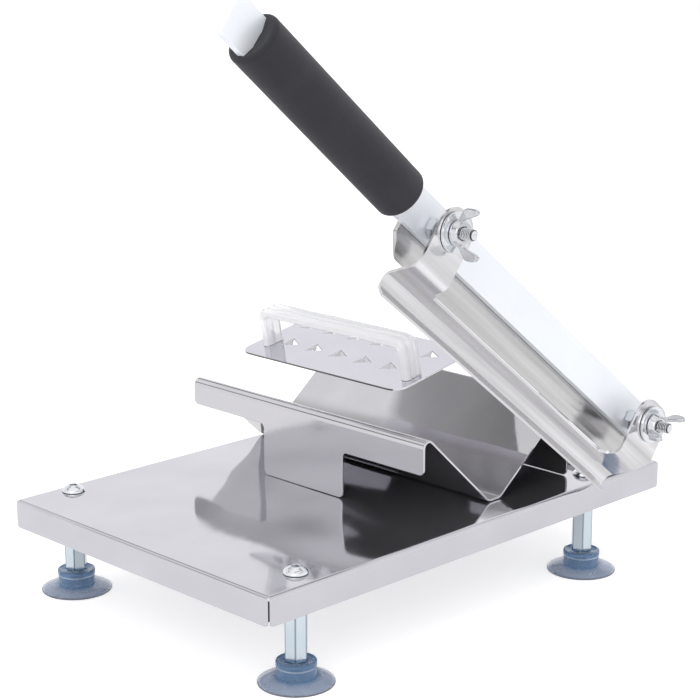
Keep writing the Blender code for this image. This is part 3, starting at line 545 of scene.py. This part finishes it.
def feed(tree, socket, value):
    """Link a socket to another, or set its value. A colour comes as three numbers."""
    if isinstance(value, bpy.types.NodeSocket):
        tree.links.new(value, socket)
    elif socket.type == "RGBA":
        socket.default_value = (*value, 1)
    else:
        socket.default_value = value


def add_node(tree, kind, inputs=None, **settings):
    """A shader node with its settings, and its inputs set or linked."""
    made = tree.nodes.new(kind)
    for name, value in settings.items():
        setattr(made, name, value)
    for name, value in (inputs or {}).items():
        feed(tree, made.inputs[name], value)
    return made


def calc(tree, operation, *values):
    """The result of a maths node."""
    return add_node(tree, "ShaderNodeMath", dict(enumerate(values)), operation=operation).outputs[0]


def spread(tree, value, before, after, kind="LINEAR"):
    """A value moved from one range to another, and held inside it."""
    inputs = {"Value": value, "From Min": before[0], "From Max": before[1]}
    inputs.update({"To Min": after[0], "To Max": after[1]})
    return add_node(tree, "ShaderNodeMapRange", inputs, interpolation_type=kind).outputs["Result"]


def mixed(tree, factor, first, second, kind="RGBA", blend="MIX"):
    """Two colours, or with FLOAT two numbers, mixed by a factor. Each is a value or a socket."""
    low, high, result = {"RGBA": (6, 7, 2), "FLOAT": (2, 3, 0)}[kind]
    inputs = {0: factor, low: first, high: second}
    return add_node(tree, "ShaderNodeMix", inputs, data_type=kind, blend_type=blend).outputs[result]


def ramp(tree, factor, stops):
    """A colour from a ramp of positions and colours."""
    made = add_node(tree, "ShaderNodeValToRGB", {"Fac": factor})
    elements = made.color_ramp.elements
    for element, (position, colour) in zip(elements, (stops[0], stops[-1])):
        element.position = position
        element.color = (*colour, 1)
    for position, colour in stops[1:-1]:
        elements.new(position).color = (*colour, 1)
    return made.outputs["Color"]


def own_place(tree):
    """The place in the piece's own space."""
    return add_node(tree, "ShaderNodeTexCoord").outputs["Object"]


def component(tree, vector, axis):
    """One component of a vector."""
    return add_node(tree, "ShaderNodeSeparateXYZ", {"Vector": vector}).outputs[axis]


def from_axis(tree, axis=(0, 0, 0)):
    """The distance from an upright axis in the piece's own space."""
    inputs = {0: own_place(tree), 1: (1, 1, 0)}
    flat = add_node(tree, "ShaderNodeVectorMath", inputs, operation="MULTIPLY").outputs[0]
    inputs = {0: flat, 1: axis}
    return add_node(tree, "ShaderNodeVectorMath", inputs, operation="DISTANCE").outputs["Value"]


def noise(tree, scale, low=0, high=1, stretch=ANY_WAY, detail=3, tilt=0):
    """Noise in the piece's own space, turned round y and spread between two values."""
    place = own_place(tree)
    if tilt:
        inputs = {"Vector": place, "Angle": math.radians(tilt)}
        place = add_node(tree, "ShaderNodeVectorRotate", inputs, rotation_type="Y_AXIS").outputs["Vector"]
    stretched = add_node(tree, "ShaderNodeMapping", {"Vector": place, "Scale": stretch})
    inputs = {"Vector": stretched.outputs["Vector"], "Scale": scale, "Detail": detail}
    source = add_node(tree, "ShaderNodeTexNoise", inputs).outputs["Fac"]
    return spread(tree, source, NOISE_RANGE, (low, high))


def bump(tree, height, distance, strength=1, before=None):
    """A bump from a height, in metres, on top of another."""
    inputs = {"Height": height, "Distance": distance, "Strength": strength}
    if before is not None:
        inputs["Normal"] = before
    return add_node(tree, "ShaderNodeBump", inputs).outputs["Normal"]


def parts(material):
    """A material's node tree and its shader's inputs."""
    tree = material.node_tree
    return tree, tree.nodes["Principled BSDF"].inputs


def new_material(name):
    """A material, its node tree and its shader's inputs."""
    material = bpy.data.materials.new(name)
    material.use_nodes = True
    return (material, *parts(material))


def tint(tree, shader, factor, colour):
    """Lay a colour over the shader's present one, by a factor."""
    before = shader["Base Color"].links[0].from_socket
    feed(tree, shader["Base Color"], mixed(tree, factor, before, colour))


def steel(name, dark, light, roughness, brush, wave, metallic=0.94, smudges=SMUDGE_SCALE,
          stretch=ANY_WAY, tilt=0, grain=2e-6):
    """Rolled steel: soft waves, fine brush lines, and smudges or streaks of another tone."""
    material, tree, shader = new_material(name)
    shader["Metallic"].default_value = metallic
    tone = noise(tree, smudges, stretch=stretch, tilt=tilt)
    feed(tree, shader["Base Color"], mixed(tree, tone, dark, light))
    lines = noise(tree, BRUSH_SCALE, stretch=brush, detail=2, tilt=tilt)
    feed(tree, shader["Roughness"], spread(tree, lines, (0, 1), roughness))
    waves = bump(tree, noise(tree, WAVE_SCALE, detail=1), wave)
    feed(tree, shader["Normal"], bump(tree, lines, grain, before=waves))
    return material


def faced(material, faces, colour, roughness, metallic=None):
    """Another colour, roughness and metal where the surface's normal lies in a range along an axis."""
    axis, low, high = faces
    tree, shader = parts(material)
    normal = add_node(tree, "ShaderNodeNewGeometry").outputs["Normal"]
    along = component(tree, normal, axis)
    above = calc(tree, "GREATER_THAN", along, low)
    below = calc(tree, "LESS_THAN", along, high)
    inside = calc(tree, "MULTIPLY", above, below)
    tint(tree, shader, inside, colour)
    before = shader["Roughness"].links[0].from_socket
    feed(tree, shader["Roughness"], mixed(tree, inside, before, roughness, "FLOAT"))
    if metallic is not None:
        before = shader["Metallic"].default_value
        feed(tree, shader["Metallic"], mixed(tree, inside, before, metallic, "FLOAT"))


def hexagon_corner_shade(material, dark):
    """Painted shade: darker lines along the corners of the upright hexagon bars over the feet."""
    tree, shader = parts(material)
    nearest = None
    for x in FOOT_X.values():
        for y in FOOT_Y.values():
            reach = from_axis(tree, ((x - ORIGIN[0]) * MM, (y - ORIGIN[1]) * MM, 0))
            nearest = reach if nearest is None else calc(tree, "MINIMUM", nearest, reach)
    edge = spread(tree, nearest, [distance * MM for distance in CORNER_SHADE_LINE], (0, 1))
    tint(tree, shader, edge, dark)


def rough_trough_with_painted_shade(material, roughness, dark):
    """Rougher steel on upward faces towards the floor of the trough, where the meat rubs, darkened there by
    painted shade.
    """
    tree, shader = parts(material)
    height = component(tree, own_place(tree), "Z")
    heights = [(level - ORIGIN[2]) * MM for level in TROUGH_SHADE_HEIGHTS]
    low_down = spread(tree, height, heights, (1, 0), "SMOOTHSTEP")
    normal = add_node(tree, "ShaderNodeNewGeometry").outputs["Normal"]
    upward = calc(tree, "GREATER_THAN", component(tree, normal, "Z"), UPWARD)
    rough_and_shaded = calc(tree, "MULTIPLY", low_down, upward)
    before = shader["Roughness"].links[0].from_socket
    feed(tree, shader["Roughness"], calc(tree, "MULTIPLY_ADD", rough_and_shaded, roughness, before))
    # Painted shade darkens the trough's floor
    tint(tree, shader, rough_and_shaded, dark)


def painted_valley_shade(material, dark):
    """Painted shade in the thread valleys, and none on a bolt's tip, as it lies nearer to the axis."""
    tree, shader = parts(material)
    deep = BOLT_RADIUS - THREAD_DEPTH
    reach = from_axis(tree)
    valley = spread(tree, reach, (deep * MM, (BOLT_RADIUS - VALLEY_MARGIN) * MM), (1, 0))
    shank = calc(tree, "GREATER_THAN", reach, (deep - TIP_MARGIN) * MM)
    # Painted shade in the valleys
    tint(tree, shader, calc(tree, "MULTIPLY", valley, shank), dark)


def foam():
    """Closed-cell foam: fine pits, a soft sheen and faint scuffs."""
    material, tree, shader = new_material("foam")
    tone = mixed(tree, noise(tree, 60), (0.006, 0.006, 0.011), (0.011, 0.011, 0.019))
    feed(tree, shader["Base Color"], tone)
    shader["Roughness"].default_value = 0.75
    shader["Sheen Weight"].default_value = 0.1
    shader["Sheen Roughness"].default_value = 0.6
    cells = add_node(tree, "ShaderNodeTexVoronoi", {"Vector": own_place(tree), "Scale": 1700})
    pits = bump(tree, cells.outputs["Distance"], 0.00012, 0.6)
    feed(tree, shader["Normal"], bump(tree, noise(tree, 500), 0.00008, 0.5, before=pits))
    return material


def clear(name, thin, thick, roughness, ior, clarity):
    """Clear plastic, diffuse white where it is not clear as haze and painted glare, with faint moulding
    swirls.
    """
    material, tree, shader = new_material(name)
    shader["Transmission Weight"].default_value = clarity
    shader["IOR"].default_value = ior
    feed(tree, shader["Base Color"], mixed(tree, noise(tree, 90), thin, thick))
    feed(tree, shader["Roughness"], noise(tree, 200, roughness, roughness * 2.5))
    feed(tree, shader["Normal"], bump(tree, noise(tree, 130), 0.00012, 0.4))
    return material


def milky(name, collar, skirt, rim, edge):
    """Milky blue PVC: deep where thick, paler on the skirt, a rim darkened by painted shade and a painted
    highlight ring at the groove.
    """
    material, tree, shader = new_material(name)
    share = spread(tree, from_axis(tree), (0, CUP_RADIUS * MM), (0, 1))
    zones = [(COLLAR_ZONE, collar), (SKIRT_ZONE[0], skirt), (SKIRT_ZONE[1], skirt), (1, rim)]
    cloud = mixed(tree, noise(tree, 120), (0.90, 0.92, 0.94), (1, 1, 1))
    tone = mixed(tree, 1, ramp(tree, share, zones), cloud, blend="MULTIPLY")
    height = component(tree, own_place(tree), "Z")
    groove_height = (CUP_TOP - COLLAR_HEIGHT + GROOVE_HEIGHT) * MM
    # Painted highlight ring at the groove between collar and neck
    groove_highlight = calc(tree, "COMPARE", height, groove_height, GROOVE_HALF * MM)
    feed(tree, shader["Base Color"], mixed(tree, groove_highlight, tone, edge))
    shader["Transmission Weight"].default_value = 0.55
    shader["IOR"].default_value = 1.25
    shader["Coat Weight"].default_value = 0.6
    shader["Coat Roughness"].default_value = 0.08
    feed(tree, shader["Roughness"], noise(tree, 200, 0.18, 0.3))
    feed(tree, shader["Normal"], bump(tree, noise(tree, 160, detail=1), 0.00005, 0.3))
    return material


MIRROR_STEEL = steel("mirror_steel", (0.56, 0.555, 0.59), (0.60, 0.595, 0.63), (0.05, 0.09), ALONG_X, 0.0016)
SHEET_STEEL = steel("sheet_steel", (0.60, 0.59, 0.61), (0.66, 0.65, 0.67), (0.012, 0.03), ALONG_Y, 0.0003,
                    grain=3e-7)
PLATE_STEEL = steel("plate_steel", (0.54, 0.535, 0.54), (0.80, 0.79, 0.805), (0.11, 0.17), ALONG_X, 0.0002,
                    smudges=STREAK_SCALE, stretch=ALONG_X, tilt=-ARM_ANGLE)
PRESS_STEEL = steel("press_steel", (0.63, 0.62, 0.67), (0.68, 0.67, 0.72), (0.07, 0.12), ALONG_Y, 0.0002)
BLADE_STEEL = steel("blade_steel", (0.46, 0.455, 0.455), (0.61, 0.605, 0.605), (0.14, 0.20), ALONG_X, 0.0001,
                    smudges=STREAK_SCALE, stretch=ALONG_X, tilt=-ARM_ANGLE)
WHITE_ZINC = steel("white_zinc", (0.90, 0.93, 0.97), (0.94, 0.97, 1.0), (0.30, 0.38), ALONG_X, 0.0001,
                   metallic=0.25)
BRIGHT_ZINC = steel("bright_zinc", (0.70, 0.72, 0.75), (0.78, 0.80, 0.82), (0.10, 0.18), ANY_WAY, 0.0001)
THREAD_ZINC = steel("thread_zinc", (0.66, 0.68, 0.71), (0.76, 0.78, 0.80), (0.10, 0.18), ANY_WAY, 0.0001)
BLUE_ZINC = steel("blue_zinc", (0.60, 0.68, 0.74), (0.68, 0.75, 0.79), (0.16, 0.24), ALONG_Z, 0.0001)
CAST_ZINC = steel("cast_zinc", (0.46, 0.47, 0.49), (0.72, 0.73, 0.75), (0.08, 0.16), ANY_WAY, 0.002,
                  smudges=90)
# Near-black steel of the seam welds, painted shade for the corner seams
SEAM_SHADE_WELD = steel("seam_shade_weld", (0.05, 0.045, 0.04), (0.09, 0.08, 0.08), (0.4, 0.6), ANY_WAY, 0.0005)
FOAM = foam()
# The rim colour is painted shade, and the edge colour is a painted highlight at the groove
CLEAR_PVC = milky("clear_pvc", collar=(0.18, 0.32, 0.52), skirt=(0.46, 0.52, 0.64), rim=(0.06, 0.065, 0.09),
                  edge=(0.75, 0.85, 0.95))
# The handle is only half clear; its diffuse white is haze and painted glare
ACRYLIC = clear("acrylic", (0.97, 0.97, 0.98), (0.99, 0.99, 1.0), roughness=0.08, ior=1.2, clarity=0.5)
faced(SHEET_STEEL, LEFT_FACES, (0.60, 0.59, 0.61), 0.12)
# Rougher steel and painted shade on the trough's floor
rough_trough_with_painted_shade(SHEET_STEEL, 0.24, (0.46, 0.455, 0.46))
# Painted shade: the press plate's faces that look along -x are near black and rougher
faced(PRESS_STEEL, LEFT_FACES, (0.16, 0.15, 0.14), 0.3)
# Painted highlight: its faces that look to the near side, the flaps among them, are diffuse white and little
# metallic
faced(PRESS_STEEL, NEAR_FACES, (0.95, 0.95, 0.96), 0.4, metallic=0.15)
# Painted shade along the corners of the hexagon standoffs
hexagon_corner_shade(BLUE_ZINC, (0.25, 0.30, 0.36))
# Painted shade in the bolts' thread valleys
painted_valley_shade(THREAD_ZINC, (0.06, 0.06, 0.065))


def weld_group():
    """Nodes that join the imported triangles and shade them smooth."""
    group = bpy.data.node_groups.new("weld", "GeometryNodeTree")
    group.interface.new_socket("Geometry", in_out="INPUT", socket_type="NodeSocketGeometry")
    group.interface.new_socket("Geometry", in_out="OUTPUT", socket_type="NodeSocketGeometry")
    start = group.nodes.new("NodeGroupInput").outputs[0]
    merge = group.nodes.new("GeometryNodeMergeByDistance")
    merge.inputs["Distance"].default_value = 1e-6
    smooth = group.nodes.new("GeometryNodeSetShadeSmooth")
    end = group.nodes.new("NodeGroupOutput")
    group.links.new(start, merge.inputs["Geometry"])
    group.links.new(merge.outputs["Geometry"], smooth.inputs["Geometry"])
    group.links.new(smooth.outputs["Geometry"], end.inputs[0])
    return group


WELD = weld_group()


def dress(name, material, edge):
    """Give a CAD node its material, rounded edges of the given width and smooth bends."""
    node = NODES[name]
    node.material_slots[0].material = material
    node.modifiers.new("weld", "NODES").node_group = WELD
    planes = node.modifiers.new("planes", "DECIMATE")
    planes.decimate_type = "DISSOLVE"
    planes.angle_limit = math.radians(0.2)
    bevel = node.modifiers.new("edges", "BEVEL")
    bevel.width = edge * MM
    bevel.segments = 2
    bevel.limit_method = "ANGLE"
    bevel.angle_limit = math.radians(32)
    normals = node.modifiers.new("normals", "WEIGHTED_NORMAL")
    normals.weight = 80


def dress_frame():
    """Materials and edges of the CAD nodes that stay."""
    dress("base_plate", MIRROR_STEEL, 0.2)
    dress("meat_tray", SHEET_STEEL, 0.25)
    dress("thickness_plate", PLATE_STEEL, 0.25)
    dress("press_plate", PRESS_STEEL, 0.15)
    dress("hinge_bracket", SHEET_STEEL, 0.3)
    dress("blade", BLADE_STEEL, 0.1)
    dress("handle_bar", WHITE_ZINC, 0.4)
    dress("pivot_washer", BRIGHT_ZINC, 0.15)
    for place in ("upper", "lower"):
        dress("washer_" + place, BRIGHT_ZINC, 0.2)
    for place in ("near", "far"):
        dress("bracket_screw_" + place, BRIGHT_ZINC, 0.2)
        dress("bracket_nut_" + place, BRIGHT_ZINC, 0.2)
        dress("press_screw_" + place, BRIGHT_ZINC, 0.15)
    for near in FOOT_Y:
        for side in FOOT_X:
            dress(f"standoff_{near}_{side}", BLUE_ZINC, 0.35)
            dress(f"cup_stud_{near}_{side}", BLUE_ZINC, 0.2)


def floor_glow(tree):
    """The floor's glow for camera and transmission rays and for glossy rays, and none for others."""
    path = add_node(tree, "ShaderNodeLightPath").outputs
    direct = calc(tree, "MAXIMUM", path["Is Camera Ray"], path["Is Transmission Ray"])
    mirrored = calc(tree, "MULTIPLY", path["Is Glossy Ray"], MIRRORED_GLOW)
    return calc(tree, "MULTIPLY_ADD", direct, FLOOR_GLOW, mirrored)


def make_floor():
    """A plain white floor that keeps the object's shadow."""
    bpy.ops.mesh.primitive_plane_add(size=FLOOR_SIZE)
    floor = bpy.context.object
    floor.name = "floor"
    material, tree, shader = new_material("floor")
    shader["Base Color"].default_value = (0.9, 0.9, 0.9, 1)
    shader["Roughness"].default_value = 0.9
    shader["Specular IOR Level"].default_value = 0
    shader["Emission Color"].default_value = (1, 1, 1, 1)
    feed(tree, shader["Emission Strength"], floor_glow(tree))
    floor.data.materials.append(material)


def make_world():
    """A pale wall, a darker ceiling and dark flags, with a white backdrop for the camera."""
    world = bpy.data.worlds.new("studio")
    bpy.context.scene.world = world
    world.use_nodes = True
    tree = world.node_tree
    way = add_node(tree, "ShaderNodeTexCoord").outputs["Generated"]
    greys = [(position, (level, level, level * SKY_BLUE)) for position, level in WALL + CEILING]
    sky = ramp(tree, component(tree, way, "Z"), [(0, HORIZON)] + greys + [(1, ZENITH)])
    for aim, full, end in DARK_FLAGS:
        inputs = {0: way, 1: aim}
        near = add_node(tree, "ShaderNodeVectorMath", inputs, operation="DOT_PRODUCT").outputs["Value"]
        inputs = {0: sky, "Scale": spread(tree, near, (end, full), (1, FLAG_LEVEL))}
        sky = add_node(tree, "ShaderNodeVectorMath", inputs, operation="SCALE").outputs["Vector"]
    seen = add_node(tree, "ShaderNodeLightPath").outputs["Is Camera Ray"]
    shade = tree.nodes["Background"].inputs
    feed(tree, shade["Color"], mixed(tree, seen, sky, BACKDROP))
    shade["Strength"].default_value = WORLD_STRENGTH


def make_lights():
    """Soft square lamps over and beside the object."""
    for name, place, size, power in LAMPS:
        light = bpy.data.lights.new(name, "AREA")
        light.shape = "RECTANGLE"
        light.size = size[0]
        light.size_y = size[1]
        light.energy = power
        lamp = bpy.data.objects.new(name, light)
        bpy.context.scene.collection.objects.link(lamp)
        lamp.location = place
        aim = Vector(LAMP_AIM) - Vector(place)
        lamp.rotation_euler = aim.to_track_quat("-Z", "Y").to_euler()


def make_camera():
    """The photograph's camera."""
    camera = bpy.data.objects.new("camera", bpy.data.cameras.new("camera"))
    bpy.context.scene.collection.objects.link(camera)
    camera.location = CAMERA_PLACE
    camera.rotation_euler = [math.radians(angle) for angle in CAMERA_TURN]
    camera.data.lens = CAMERA_LENS
    camera.data.clip_start = 0.01
    bpy.context.scene.camera = camera


make_bolts()
make_nuts()
make_wing_nuts()
make_feet()
make_grip()
make_handle()
make_seam_shade_welds()
dress_frame()
make_floor()
make_world()
make_lights()
make_camera()
bpy.context.scene.view_settings.view_transform = "Standard"
